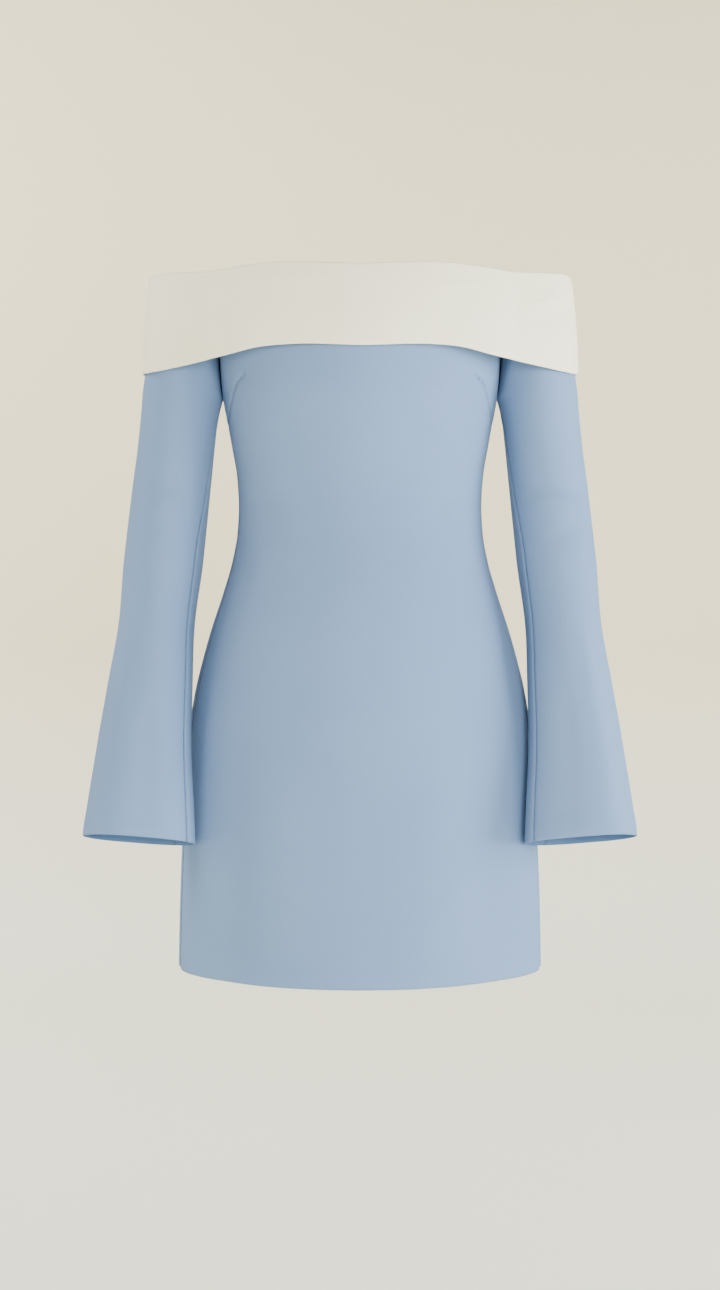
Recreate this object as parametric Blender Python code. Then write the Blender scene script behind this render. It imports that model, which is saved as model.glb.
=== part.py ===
# Off-shoulder dress with long flared sleeves and a wide fold-over band.
# The garment is hollow and stands filled out, as it is when it is worn.
# Sizes are in millimetres in the tables and become metres when a mesh is made.
# The front faces -Y, +X is to the right as one looks at the front, +Z is up.
# The origin is at the middle of the bust section, level with the underarm.

import math
from collections import namedtuple

import bmesh
import bpy
from mathutils import Vector

MM = 0.001

# Cloth and seams
CLOTH_WALL = 1.5
BAND_WALL = 2.0
SEAM_GAP = 0.3

# Grid counts, across each panel and down it
FRONT_COLUMNS = 20
BACK_COLUMNS = 10
UPPER_SLEEVE_COLUMNS = 16
UNDER_SLEEVE_COLUMNS = 4
BODY_ROWS_BELOW = 20
SLEEVE_ROWS_BELOW = 17

# Levels above the underarm, as fractions of the way up to the neck edge
LEVELS_ABOVE = (1.0, 0.82, 0.64, 0.46, 0.30, 0.16, 0.06)
ROWS_ABOVE = len(LEVELS_ABOVE)

# Hem of the skirt. The front drops by the corner's amount just in front of the sides.
HEM_SIDE_Z = -585.0
HEM_CORNER_DROP = 6.8
HEM_CORNER_SPREAD = 0.15
HEM_FRONT_DROP = 2.0
HEM_BACK_DROP = 4.0

# The body's sections, from the neck edge down to the hem.
# valley_x is where the armhole seam lies above the underarm, and side_seam is how far in front
# of the side, in degrees, the side seam lies below it.
Body = namedtuple("Body", "z half_width front back valley_x side_seam")
BODY = (
    Body(122, 200.0, 105.5, 97.0, 150.0, 0),
    Body(95, 184.0, 107.5, 98.5, 149.0, 0),
    Body(70, 168.0, 109.5, 99.5, 148.0, 0),
    Body(45, 155.0, 112.0, 99.5, 146.6, 0),
    Body(30, 149.6, 113.5, 99.0, 146.0, 0),
    Body(15, 146.2, 114.0, 98.5, 145.0, 0),
    Body(0, 143.5, 113.5, 97.5, 143.5, 0),
    Body(-25, 138.8, 109.5, 95.0, 0, 2),
    Body(-46, 134.9, 104.5, 92.5, 0, 4),
    Body(-84, 128.6, 95.5, 87.0, 0, 6),
    Body(-113, 127.0, 91.5, 85.0, 0, 8),
    Body(-140, 128.4, 91.5, 88.0, 0, 9),
    Body(-168, 133.2, 94.0, 94.5, 0, 10),
    Body(-204, 143.4, 99.0, 104.0, 0, 11),
    Body(-238, 154.6, 104.0, 111.5, 0, 12),
    Body(-273, 164.6, 108.5, 116.0, 0, 12),
    Body(-309, 173.0, 112.0, 118.5, 0, 12),
    Body(-350, 179.0, 114.5, 119.5, 0, 12),
    Body(-467, 186.0, 119.5, 120.5, 0, 12),
    Body(-560, 188.8, 122.5, 122.0, 0, 12),
    Body(-595, 189.2, 123.5, 122.5, 0, 12),
)

# The right sleeve's rings, from the arm at the neck edge down to the cuff.
# front_seam and back_seam are in degrees from the ring's inner side.
Sleeve = namedtuple("Sleeve", "z centre_x centre_y half_width half_depth front_seam back_seam")
SLEEVE = (
    Sleeve(122, 181.0, 0.0, 36.0, 46.0, 0, 0),
    Sleeve(70, 183.0, 0.0, 36.5, 47.5, 0, 0),
    Sleeve(27, 186.6, 0.0, 38.4, 49.0, 0, 0),
    Sleeve(0, 187.8, 0.0, 40.5, 50.0, 2, 2),
    Sleeve(-42, 191.9, 0.0, 40.1, 49.0, 8, 28),
    Sleeve(-104, 198.6, -3.0, 40.9, 47.0, 20, 42),
    Sleeve(-167, 204.4, -12.0, 41.1, 45.5, 30, 48),
    Sleeve(-231, 209.7, -25.0, 39.0, 43.5, 28, 50),
    Sleeve(-297, 214.6, -42.0, 43.1, 43.0, 27, 52),
    Sleeve(-362, 219.0, -57.0, 48.0, 42.5, 27, 54),
    Sleeve(-422, 220.9, -70.0, 54.0, 42.0, 27, 55),
    Sleeve(-453, 221.7, -75.5, 56.4, 42.0, 27, 55),
)
CUFF_BACK_DROP = 0.21
CUFF_OUTER_RISE = 0.07

# Where the armhole leaves the ring's inner side at the neck edge, and how fast it gets there
CAP_TURN = 70.0
CAP_TURN_POWER = 0.7
CAP_BLEND = 50.0
UNDERARM_BLEND = 30.0

# Levels by which the valley at the armhole has turned forwards, and has flattened out
VALLEY_TURN = 30.0
VALLEY_END = 85.0

# The side and sleeve seams lie further out than this
UNDERARM_X = 120.0

# The under sleeve starts this far down its first row, just below the underarm point
UNDER_SLEEVE_START = 0.05

# The neckline: the band's top and bottom edges by distance from the middle
Neck = namedtuple("Neck", "x top bottom")
NECK = (
    Neck(0, 118.7, 36.0),
    Neck(60, 121.6, 38.4),
    Neck(82, 122.2, 38.0),
    Neck(98, 122.0, 36.8),
    Neck(112, 121.3, 34.4),
    Neck(125, 120.6, 31.8),
    Neck(150, 119.5, 28.0),
    Neck(167, 120.7, 25.5),
    Neck(182, 122.2, 23.7),
    Neck(202, 124.2, 21.9),
    Neck(208, 125.0, 22.0),
    Neck(213, 125.8, 23.2),
    Neck(217, 126.6, 25.4),
)
NECK_EDGE_DROP = 10.0
NECK_SECTION_Z = 110.0
LIP_GAP = 0.5

# The band stands off the cloth below it by these distances at its bottom edge
BAND_STAND_OFF_FRONT = 12.6
BAND_STAND_OFF_ARM = 11.0
BAND_STAND_OFF_BACK = 8.8
BAND_ROLL = 2.9
BAND_ROLL_STEPS = 4
BAND_FALL_STEPS = 5
BAND_FALL_POWER = 0.9
BAND_BACK_SEAM = 10

# The largest soft folds. place is in degrees round from the outer side, towards the front.
# Each fold grows to its full depth over this length below its start.
FOLD_GROWTH = 220.0
Fold = namedtuple("Fold", "place spread depth start")
SLEEVE_FOLDS = (
    Fold(62, 20, 2.6, -230),
    Fold(30, 15, -2.2, -260),
    Fold(105, 18, -1.6, -280),
    Fold(-40, 22, 2.4, -220),
    Fold(-78, 18, -2.0, -250),
)
SKIRT_FOLDS = (
    Fold(14, 8, 1.8, -260),
    Fold(34, 9, -1.6, -240),
    Fold(-22, 10, 1.8, -230),
    Fold(-46, 12, -1.8, -250),
)

# The concealed zip's slider and pull tab, at the top of the centre back
ZIP_DROP = 13.0
SLIDER_WIDTH = 6.0
SLIDER_HEIGHT = 9.0
SLIDER_PLATE = 1.2
SLIDER_CORNER = 1.6
ARCH_WIDTH = 2.4
ARCH_HEIGHT = 6.2
ARCH_DEPTH = 2.4
ARCH_CORNER = 0.9
ARCH_SUNK = 0.5
WINDOW_HEIGHT = 2.4
WINDOW_DEPTH = 1.6
TAB_WIDTH = 5.6
TAB_BOTTOM_WIDTH = 7.0
TAB_LENGTH = 24.0
TAB_THICKNESS = 0.9
TAB_EYE_WIDTH = 3.4
TAB_EYE_HEIGHT = 4.6
TAB_BAR = 0.9
TAB_CORNER = 0.8

# Edges sharper than these angles, in degrees, are shaded as edges
CLOTH_EDGE = 50
METAL_EDGE = 30

# Points of an outline's faces that are closer than this, in metres, are one point
SAME_POINT = 0.00001

# Finishes: colour, roughness and metallic value
BLUE = ((0.36, 0.48, 0.64, 1.0), 0.85, 0.0)
IVORY = ((0.74, 0.72, 0.64, 1.0), 0.6, 0.0)
NICKEL = ((0.62, 0.66, 0.70, 1.0), 0.35, 0.9)


def clear_scene():
    for item in list(bpy.data.objects):
        bpy.data.objects.remove(item, do_unlink=True)


def read_table(table, key, at, column):
    """Smooth value of a column, with the table's rows in either order of the key."""
    rows = sorted(table, key=lambda row: getattr(row, key))
    keys = [getattr(row, key) for row in rows]
    values = [getattr(row, column) for row in rows]
    if at <= keys[0]:
        return values[0]
    if at >= keys[-1]:
        return values[-1]
    i = max(j for j in range(len(keys) - 1) if keys[j] <= at)
    span = keys[i + 1] - keys[i]
    t = (at - keys[i]) / span

    def slope(j):
        if j == 0 or j == len(keys) - 1:
            return 0.0
        before = (values[j] - values[j - 1]) / (keys[j] - keys[j - 1])
        after = (values[j + 1] - values[j]) / (keys[j + 1] - keys[j])
        if before * after <= 0:
            return 0.0
        return 2 * before * after / (before + after)

    t2 = t * t
    t3 = t2 * t
    return (
        (2 * t3 - 3 * t2 + 1) * values[i]
        + (t3 - 2 * t2 + t) * span * slope(i)
        + (3 * t2 - 2 * t3) * values[i + 1]
        + (t3 - t2) * span * slope(i + 1)
    )


def body_at(z, column):
    return read_table(BODY, "z", z, column)


def sleeve_at(z, column):
    return read_table(SLEEVE, "z", z, column)


def neck_at(x, column):
    return read_table(NECK, "x", abs(x), column)


def neck_edge(x):
    """Level of the cloth's own top edge, which the band's inner lip meets."""
    return neck_at(x, "top") - NECK_EDGE_DROP


def fold_height(folds, place, z):
    """How far the folds push the cloth out at a place round a tube, in degrees."""
    height = 0.0
    for fold in folds:
        if z >= fold.start:
            continue
        grown = min(1.0, (fold.start - z) / FOLD_GROWTH)
        apart = (place - fold.place + 180.0) % 360.0 - 180.0
        height += fold.depth * grown * grown * math.exp(-((apart / fold.spread) ** 2))
    return height


def body_point(angle, z):
    """Outer surface of the body. The angle, in radians, is 0 at +X and 90 degrees at the back."""
    side = math.sin(angle)
    depth = body_at(z, "back") if side > 0 else body_at(z, "front")
    x = body_at(z, "half_width") * math.cos(angle)
    y = depth * side
    degrees = math.degrees(math.atan2(y, abs(x)))
    out = fold_height(SKIRT_FOLDS, -degrees, z)
    reach = math.hypot(x, y)
    return Vector((x + out * x / reach, y + out * y / reach, z))


def armhole_angle(z):
    """Angle of the armhole seam on the body's section, above the underarm."""
    return math.acos(min(1.0, body_at(z, "valley_x") / body_at(z, "half_width")))


def seam_angle(z, front):
    """Angle, from the side, of the seam that ends the front or the back panel at a level."""
    if z >= 0:
        return armhole_angle(z)
    lean = math.radians(body_at(z, "side_seam"))
    return lean if front else -lean


def hem_level(angle):
    side = math.sin(angle)
    if side > 0:
        return HEM_SIDE_Z - HEM_BACK_DROP * side * side
    corner = HEM_CORNER_DROP * (1.0 - math.exp(-((side / HEM_CORNER_SPREAD) ** 2)))
    return HEM_SIDE_Z - corner - HEM_FRONT_DROP * side * side


def body_levels(neck_z, hem_z):
    """Levels down one column of a body panel, above the underarm and below it."""
    levels = [neck_z * part for part in LEVELS_ABOVE]
    for row in range(BODY_ROWS_BELOW + 1):
        levels.append(hem_z * row / BODY_ROWS_BELOW)
    return levels


def front_grid():
    """Rows of points, left to right, from the neck edge down to the hem."""
    columns = []
    top_z = neck_edge(body_at(NECK_SECTION_Z, "valley_x"))
    for j in range(FRONT_COLUMNS + 1):
        across = j / FRONT_COLUMNS
        seam = seam_angle(top_z, True)
        neck_angle = -math.pi + seam + (math.pi - 2 * seam) * across
        neck_z = neck_edge(body_at(NECK_SECTION_Z, "half_width") * math.cos(neck_angle))
        low_seam = seam_angle(HEM_SIDE_Z, True)
        hem_z = hem_level(-math.pi + low_seam + (math.pi - 2 * low_seam) * across)
        column = []
        for z in body_levels(neck_z, hem_z):
            seam = seam_angle(z, True)
            column.append(body_point(-math.pi + seam + (math.pi - 2 * seam) * across, z))
        columns.append(column)
    return [list(row) for row in zip(*columns)]


def back_right_grid():
    """Rows of points from the right side seam round to the centre back."""
    columns = []
    top_z = neck_edge(body_at(NECK_SECTION_Z, "valley_x"))
    for j in range(BACK_COLUMNS + 1):
        across = j / BACK_COLUMNS
        seam = seam_angle(top_z, False)
        neck_angle = seam + (math.pi / 2 - seam) * across
        neck_z = neck_edge(body_at(NECK_SECTION_Z, "half_width") * math.cos(neck_angle))
        low_seam = seam_angle(HEM_SIDE_Z, False)
        hem_z = hem_level(low_seam + (math.pi / 2 - low_seam) * across)
        column = []
        for z in body_levels(neck_z, hem_z):
            seam = seam_angle(z, False)
            column.append(body_point(seam + (math.pi / 2 - seam) * across, z))
        columns.append(column)
    return [list(row) for row in zip(*columns)]


def cap_angle(z):
    """Where the armhole leaves the sleeve's ring, in degrees from its outer side."""
    rise = max(z, 0.0) / neck_edge(body_at(NECK_SECTION_Z, "valley_x"))
    return 180.0 - CAP_TURN * min(1.0, rise) ** CAP_TURN_POWER


def ring_point(degrees, z):
    """A plain point of the sleeve's ring, 0 at the outer side and -90 at the front."""
    angle = math.radians(degrees)
    out = fold_height(SLEEVE_FOLDS, -degrees, z)
    across = (sleeve_at(z, "half_width") + out) * math.cos(angle)
    along = (sleeve_at(z, "half_depth") + out) * math.sin(angle)
    down = min(1.0, max(0.0, z / SLEEVE[-1].z)) ** 2
    level = z - CUFF_BACK_DROP * down * along + CUFF_OUTER_RISE * down * across
    return Vector((sleeve_at(z, "centre_x") + across, sleeve_at(z, "centre_y") + along, level))


def sleeve_point(degrees, z):
    """Outer surface of the right sleeve, drawn over to the armhole near the underarm and above."""
    degrees = (degrees + 180.0) % 360.0 - 180.0
    level = max(z, 0.0)
    fade = 1.0 if z >= 0 else max(0.0, 1.0 + z / UNDERARM_BLEND) ** 2
    point = ring_point(degrees, z)
    cap = cap_angle(level)
    front = degrees < 0
    away = max(0.0, degrees + cap) if front else max(0.0, cap - degrees)
    weight = fade * max(0.0, 1.0 - away / CAP_BLEND) ** 2
    seam = armhole_angle(level)
    target = body_point(-seam if front else seam, level)
    leave = ring_point(-cap if front else cap, level)
    pull = target - leave
    return point + Vector((pull.x, pull.y, 0.0)) * weight


def sleeve_levels(degrees):
    """Levels down one column of a sleeve panel, for a column that ends at this neck angle."""
    neck_z = neck_edge(sleeve_point(degrees, NECK_SECTION_Z).x)
    levels = [neck_z * part for part in LEVELS_ABOVE]
    for row in range(SLEEVE_ROWS_BELOW + 1):
        levels.append(SLEEVE[-1].z * row / SLEEVE_ROWS_BELOW)
    return levels


def upper_sleeve_grid():
    """Rows of points from the front seam, round the outer side, to the back seam."""
    columns = []
    valley = neck_edge(body_at(NECK_SECTION_Z, "valley_x"))
    for j in range(UPPER_SLEEVE_COLUMNS + 1):
        across = j / UPPER_SLEEVE_COLUMNS
        column = []
        for row, z in enumerate(sleeve_levels(cap_angle(valley) * (2 * across - 1))):
            on_edge = j in (0, UPPER_SLEEVE_COLUMNS)
            if row <= ROWS_ABOVE:
                edge = valley * LEVELS_ABOVE[row] if row < ROWS_ABOVE else 0.0
                front = -cap_angle(edge)
                back = cap_angle(edge)
            else:
                front = sleeve_at(z, "front_seam") - 180.0
                back = 180.0 - sleeve_at(z, "back_seam")
            if on_edge and row <= ROWS_ABOVE:
                seam = armhole_angle(z)
                column.append(body_point(-seam if j == 0 else seam, z))
            else:
                column.append(sleeve_point(front + (back - front) * across, z))
        columns.append(column)
    return [list(row) for row in zip(*columns)]


def under_sleeve_grid():
    """Rows of points from the back seam, round the inner side, to the front seam."""
    rows = []
    for i in range(1, SLEEVE_ROWS_BELOW + 1):
        z = SLEEVE[-1].z * i / SLEEVE_ROWS_BELOW
        start = 180.0 - sleeve_at(z, "back_seam")
        end = 180.0 + sleeve_at(z, "front_seam")
        row = []
        for j in range(UNDER_SLEEVE_COLUMNS + 1):
            row.append(sleeve_point(start + (end - start) * j / UNDER_SLEEVE_COLUMNS, z))
        rows.append(row)
    underarm = body_point(0.0, 0.0)
    first = underarm.lerp(rows[0][0], UNDER_SLEEVE_START)
    last = underarm.lerp(rows[0][-1], UNDER_SLEEVE_START)
    top = [first.lerp(last, j / UNDER_SLEEVE_COLUMNS) for j in range(UNDER_SLEEVE_COLUMNS + 1)]
    return [top] + rows


def mirrored(grid):
    """The same panel on the other side, with its columns still running the same way round."""
    return [[Vector((-p.x, p.y, p.z)) for p in reversed(row)] for row in grid]


def key_of(point):
    return (round(point.x, 3), round(point.y, 3), round(point.z, 3))


def joint_normals(grids):
    """Outward directions at every point, shared by panels that meet at a seam."""
    sums = {}
    for grid in grids:
        for i in range(len(grid) - 1):
            for j in range(len(grid[0]) - 1):
                corners = (grid[i][j], grid[i + 1][j], grid[i + 1][j + 1], grid[i][j + 1])
                out = (corners[2] - corners[0]).cross(corners[3] - corners[1]).normalized()
                for k, corner in enumerate(corners):
                    key = key_of(corner)
                    spread = (corners[k - 1] - corner).angle(corners[(k + 1) % 4] - corner, 0.0)
                    sums[key] = sums.get(key, Vector()) + out * spread
    return {key: value.normalized() for key, value in sums.items()}


def turn_armhole_normals(panels, normals):
    """Points the armhole's outward directions out of the valley between body and sleeve.

    The valley faces straight down at the underarm and turns to the front and the back above."""
    edges = [
        (panels["front"], 0, -1.0),
        (panels["front"], -1, -1.0),
        (panels["back_right"], 0, 1.0),
        (panels["back_left"], -1, 1.0),
    ]
    for grid, column, facing in edges:
        for row in range(ROWS_ABOVE + 1):
            point = grid[row][column]
            key = key_of(point)
            turned = min(1.0, point.z / VALLEY_TURN)
            straight = min(1.0, point.z / VALLEY_END) ** 2
            valley = Vector((0.0, facing * turned, turned - 1.0)).normalized()
            normals[key] = valley.lerp(normals[key], straight).normalized()


def level_top_edges(panels, normals):
    """Makes each top edge square to the cloth, so that the band's lip can meet it.

    The under sleeve's narrow top takes the direction of the underarm point above it."""
    underarm = body_point(0.0, 0.0)
    for name, grid in panels.items():
        if name.startswith("sleeve_under"):
            side = math.copysign(1.0, grid[0][0].x)
            above = normals[key_of(Vector((side * underarm.x, underarm.y, underarm.z)))]
            for point, below in zip(grid[0], grid[1]):
                blend = above.lerp(normals[key_of(below)], UNDER_SLEEVE_START)
                normals[key_of(point)] = blend.normalized()
            continue
        for point in grid[0]:
            key = key_of(point)
            normals[key] = Vector((normals[key].x, normals[key].y, 0.0)).normalized()


def inward_step(grid, normals, i, j):
    """How far a point on a seam moves into its own panel to leave half of the seam gap."""
    if 0 < j < len(grid[0]) - 1:
        return Vector()
    point = grid[i][j]
    along_column = grid[min(i + 1, len(grid) - 1)][j] - grid[max(i - 1, 0)][j]
    half_gap = SEAM_GAP / 2
    if abs(point.x) > UNDERARM_X and point.z == 0.0:
        # Four panel corners meet at the underarm point, so each moves off both of its seams.
        beside = grid[i][1 if j == 0 else -2] - point
        return Vector((math.copysign(half_gap, beside.x), math.copysign(half_gap, beside.y), 0.0))
    step = normals[key_of(point)].cross(along_column).normalized() * half_gap
    return step if j == 0 else -step


def wall_object(name, grid, normals, thickness, finish, collection):
    """One closed wall: the outer points, the same points moved in, and the edges between."""
    mesh = bpy.data.meshes.new(name)
    shell = bmesh.new()
    outer = []
    inner = []
    for i, row in enumerate(grid):
        outer_row = []
        inner_row = []
        for j, point in enumerate(row):
            placed = point + inward_step(grid, normals, i, j)
            normal = normals[key_of(point)]
            outer_row.append(shell.verts.new(placed * MM))
            inner_row.append(shell.verts.new((placed - normal * thickness) * MM))
        outer.append(outer_row)
        inner.append(inner_row)
    last_row = len(grid) - 1
    last_column = len(grid[0]) - 1
    for i in range(last_row):
        for j in range(last_column):
            shell.faces.new((outer[i][j], outer[i + 1][j], outer[i + 1][j + 1], outer[i][j + 1]))
            shell.faces.new((inner[i][j], inner[i][j + 1], inner[i + 1][j + 1], inner[i + 1][j]))
    for j in range(last_column):
        shell.faces.new((outer[0][j], outer[0][j + 1], inner[0][j + 1], inner[0][j]))
        low = last_row
        shell.faces.new((outer[low][j + 1], outer[low][j], inner[low][j], inner[low][j + 1]))
    # The seam edges are split along the same diagonal on both panels, so they stay parallel.
    for i in range(last_row):
        shell.faces.new((outer[i + 1][0], outer[i][0], inner[i + 1][0]))
        shell.faces.new((outer[i][0], inner[i][0], inner[i + 1][0]))
        far = last_column
        shell.faces.new((outer[i][far], outer[i + 1][far], inner[i + 1][far]))
        shell.faces.new((outer[i][far], inner[i + 1][far], inner[i][far]))
    bmesh.ops.recalc_face_normals(shell, faces=shell.faces)
    shell.to_mesh(mesh)
    shell.free()
    mesh.shade_smooth()
    mesh.set_sharp_from_angle(angle=math.radians(CLOTH_EDGE))
    return place_object(name, mesh, finish, collection)


def place_object(name, mesh, finish, collection):
    colour, roughness, metallic = finish
    material = bpy.data.materials.new(name + "_finish")
    material.use_nodes = True
    shader = material.node_tree.nodes["Principled BSDF"]
    shader.inputs["Base Color"].default_value = colour
    shader.inputs["Roughness"].default_value = roughness
    shader.inputs["Metallic"].default_value = metallic
    mesh.materials.append(material)
    item = bpy.data.objects.new(name, mesh)
    collection.objects.link(item)
    return item


def band_stand_off(normal):
    """The band's distance from the cloth at its bottom edge, by the way it faces there."""
    behind = max(0.0, normal.y)
    ahead = max(0.0, -normal.y)
    side = abs(normal.x)
    total = behind + ahead + side
    blend = BAND_STAND_OFF_FRONT * ahead + BAND_STAND_OFF_BACK * behind + BAND_STAND_OFF_ARM * side
    return blend / total


def band_profile(edge, flat_normal):
    """Points of the band's outer side at one place, from its lip inside over the top and down."""
    neck_z = edge.z
    x = abs(edge.x)
    top = neck_at(x, "top")
    bottom = neck_at(x, "bottom")
    roll_centre = top - BAND_ROLL
    lip = -CLOTH_WALL
    points = [edge + flat_normal * lip + Vector((0, 0, LIP_GAP))]
    for step in range(BAND_ROLL_STEPS + 1):
        turn = math.pi * (1 - step / BAND_ROLL_STEPS)
        out = lip + BAND_ROLL * (1 + math.cos(turn))
        rise = roll_centre + BAND_ROLL * math.sin(turn) - neck_z
        points.append(edge + flat_normal * out + Vector((0, 0, rise)))
    start = lip + 2 * BAND_ROLL
    stand_off = band_stand_off(flat_normal)
    for step in range(1, BAND_FALL_STEPS + 1):
        part = step / BAND_FALL_STEPS
        out = start + (stand_off - start) * math.sin(part * math.pi / 2) ** BAND_FALL_POWER
        level = roll_centre + (bottom - roll_centre) * part
        points.append(edge + flat_normal * out + Vector((0, 0, level - neck_z)))
    return points


def band_grids(panels):
    """The band's three pieces, from the neck edges of the panels that it folds over."""
    right_cap = panels["sleeve_upper_right"][0]
    left_cap = panels["sleeve_upper_left"][0]
    loop = panels["front"][0][:-1] + right_cap[:-1] + panels["back_right"][0][:-1]
    loop += panels["back_left"][0][:-1] + left_cap[:-1]
    count = len(loop)
    profiles = []
    for k, edge in enumerate(loop):
        along = loop[(k + 1) % count] - loop[k - 1]
        flat_normal = Vector((along.y, -along.x, 0.0)).normalized()
        profiles.append(band_profile(edge, flat_normal))
    front_end = FRONT_COLUMNS + BAND_BACK_SEAM
    centre_back = FRONT_COLUMNS + UPPER_SLEEVE_COLUMNS + BACK_COLUMNS
    front_start = count - BAND_BACK_SEAM
    spans = {
        "band_front": list(range(front_start, count)) + list(range(front_end + 1)),
        "band_back_right": list(range(front_end, centre_back + 1)),
        "band_back_left": list(range(centre_back, front_start + 1)),
    }
    grids = {}
    for name, places in spans.items():
        grids[name] = [list(row) for row in zip(*(profiles[k] for k in places))]
    return grids


def outline_solid(name, outlines, thickness, finish, collection):
    """A flat curve with holes, extruded to a thickness and made a mesh, in its own XY plane."""
    curve = bpy.data.curves.new(name, "CURVE")
    curve.dimensions = "2D"
    curve.fill_mode = "BOTH"
    curve.extrude = thickness / 2 * MM
    for outline in outlines:
        spline = curve.splines.new("POLY")
        spline.points.add(len(outline) - 1)
        for point, (x, y) in zip(spline.points, outline):
            point.co = (x * MM, y * MM, 0.0, 1.0)
        spline.use_cyclic_u = True
    guide = bpy.data.objects.new(name + "_outline", curve)
    collection.objects.link(guide)
    bpy.context.view_layer.update()
    mesh = bpy.data.meshes.new_from_object(guide.evaluated_get(bpy.context.evaluated_depsgraph_get()))
    bpy.data.objects.remove(guide, do_unlink=True)
    bpy.data.curves.remove(curve)
    joined = bmesh.new()
    joined.from_mesh(mesh)
    bmesh.ops.remove_doubles(joined, verts=joined.verts, dist=SAME_POINT)
    bmesh.ops.recalc_face_normals(joined, faces=joined.faces)
    joined.to_mesh(mesh)
    joined.free()
    mesh.materials.clear()
    return place_object(name, mesh, finish, collection)


def arc(centre, radius, start, end, steps):
    points = []
    for step in range(steps + 1):
        angle = math.radians(start + (end - start) * step / steps)
        points.append((centre[0] + radius * math.cos(angle), centre[1] + radius * math.sin(angle)))
    return points


def rounded_box(width, low, high, radius):
    """A rectangle about X = 0, from low to high, with rounded corners."""
    half = width / 2 - radius
    points = arc((half, high - radius), radius, 0, 90, 3)
    points += arc((-half, high - radius), radius, 90, 180, 3)
    points += arc((-half, low + radius), radius, 180, 270, 3)
    points += arc((half, low + radius), radius, 270, 360, 3)
    return points


def zip_slider(seat, collection):
    """The slider lies on the band at the closed end of the zip, with an arch for its tab."""
    plate = outline_solid(
        "zip_slider", [rounded_box(SLIDER_WIDTH, -SLIDER_HEIGHT / 2, SLIDER_HEIGHT / 2, SLIDER_CORNER)],
        SLIDER_PLATE, NICKEL, collection,
    )
    plate.rotation_euler = (math.radians(90), 0, 0)
    plate.location = (seat + Vector((0, SEAM_GAP + SLIDER_PLATE / 2, 0))) * MM
    # The arch's side view: X of the outline runs outward from the plate and Y runs up.
    half = ARCH_HEIGHT / 2
    turn = ARCH_DEPTH - ARCH_CORNER
    side = [(-ARCH_SUNK, -half), (turn, -half)]
    side += arc((turn, -half + ARCH_CORNER), ARCH_CORNER, -60, 0, 2)
    side += arc((turn, half - ARCH_CORNER), ARCH_CORNER, 0, 60, 2)
    side += [(turn, half), (-ARCH_SUNK, half)]
    window_half = WINDOW_HEIGHT / 2
    window = [
        (0.0, -window_half),
        (WINDOW_DEPTH, -window_half),
        (WINDOW_DEPTH, window_half),
        (0.0, window_half),
    ]
    arch = outline_solid("zip_arch", [side, window], ARCH_WIDTH, NICKEL, collection)
    arch.rotation_euler = (math.radians(90), 0, math.radians(90))
    arch.location = (seat + Vector((0, SEAM_GAP + SLIDER_PLATE, 0))) * MM
    bpy.context.view_layer.update()
    join = plate.modifiers.new("arch", "BOOLEAN")
    join.operation = "UNION"
    join.object = arch
    bpy.context.view_layer.update()
    evaluated = plate.evaluated_get(bpy.context.evaluated_depsgraph_get())
    mesh = bpy.data.meshes.new_from_object(evaluated)
    plate.modifiers.clear()
    plate.data = mesh
    mesh.set_sharp_from_angle(angle=math.radians(METAL_EDGE))
    bpy.data.objects.remove(arch, do_unlink=True)


def zip_pull(seat, collection):
    """The tab hangs on the arch. Its origin is on the axis that it swings about."""
    eye_top = -TAB_BAR / 2
    eye_bottom = eye_top - TAB_EYE_HEIGHT
    half = TAB_WIDTH / 2
    low_half = TAB_BOTTOM_WIDTH / 2
    bottom = -TAB_LENGTH + low_half
    corner_level = TAB_BAR / 2 - TAB_CORNER
    blade = arc((half - TAB_CORNER, corner_level), TAB_CORNER, 0, 90, 3)
    blade += arc((-half + TAB_CORNER, corner_level), TAB_CORNER, 90, 180, 3)
    blade += arc((0.0, bottom), low_half, 180, 360, 10)
    eye = [
        (TAB_EYE_WIDTH / 2, eye_top),
        (-TAB_EYE_WIDTH / 2, eye_top),
        (-TAB_EYE_WIDTH / 2, eye_bottom),
        (TAB_EYE_WIDTH / 2, eye_bottom),
    ]
    tab = outline_solid("zip_pull", [blade, eye], TAB_THICKNESS, NICKEL, collection)
    tab.rotation_euler = (math.radians(90), 0, 0)
    tab.location = (seat + Vector((0, SEAM_GAP + SLIDER_PLATE + WINDOW_DEPTH / 2, 0))) * MM


def main():
    clear_scene()
    dress = bpy.data.collections.new("off_shoulder_dress")
    bpy.context.scene.collection.children.link(dress)
    upper = upper_sleeve_grid()
    under = under_sleeve_grid()
    back_right = back_right_grid()
    panels = {
        "front": front_grid(),
        "back_right": back_right,
        "back_left": mirrored(back_right),
        "sleeve_upper_right": upper,
        "sleeve_upper_left": mirrored(upper),
        "sleeve_under_right": under,
        "sleeve_under_left": mirrored(under),
    }
    normals = joint_normals(panels.values())
    turn_armhole_normals(panels, normals)
    level_top_edges(panels, normals)
    for name, grid in panels.items():
        wall_object(name, grid, normals, CLOTH_WALL, BLUE, dress)
    bands = band_grids(panels)
    band_normals = joint_normals(bands.values())
    for name, grid in bands.items():
        wall_object(name, grid, band_normals, BAND_WALL, IVORY, dress)
    centre_back = bands["band_back_right"]
    seat_row = 1 + BAND_ROLL_STEPS + 1
    seat_y = centre_back[seat_row][-1].y
    seat = Vector((0.0, seat_y, neck_at(0.0, "top") - ZIP_DROP))
    zip_slider(seat, dress)
    zip_pull(seat, dress)


main()
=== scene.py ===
import math

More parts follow.
